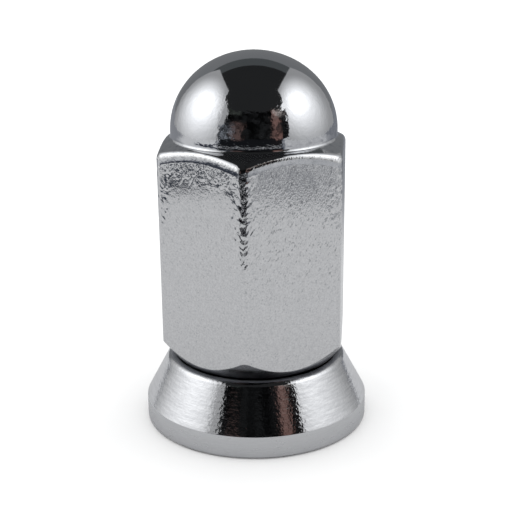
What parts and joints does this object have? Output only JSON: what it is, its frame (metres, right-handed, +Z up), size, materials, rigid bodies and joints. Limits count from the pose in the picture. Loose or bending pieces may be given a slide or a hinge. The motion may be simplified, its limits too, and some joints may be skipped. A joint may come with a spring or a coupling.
{
  "type": "acorn lug nut",
  "caption": "Closed-end domed hexagon wheel nut with a blind stud thread, held captive on a conical washer that turns freely under it.",
  "frame": {"origin": "centre of the washer's flat bottom face", "axes": "+Z up the nut's axis towards the top of the dome; a corner of the hexagon points along -Y"},
  "size_m": [0.027, 0.027, 0.0446],
  "materials": {
    "nut_chrome": "mirror-polished dome and shoulder, satin forged flats",
    "washer_chrome": "bright with fine turned lines on the cone, satin rim"
  },
  "bodies": {
    "nut": {"nut_body": "nut_chrome"},
    "washer": {"swivel_washer": "washer_chrome"}
  },
  "joints": [
    {"name": "washer_spin", "type": "hinge", "parent": "nut", "child": "washer", "pos_m": [0, 0, 0.004], "axis": [0, 0, 1], "continuous": true}
  ]
}
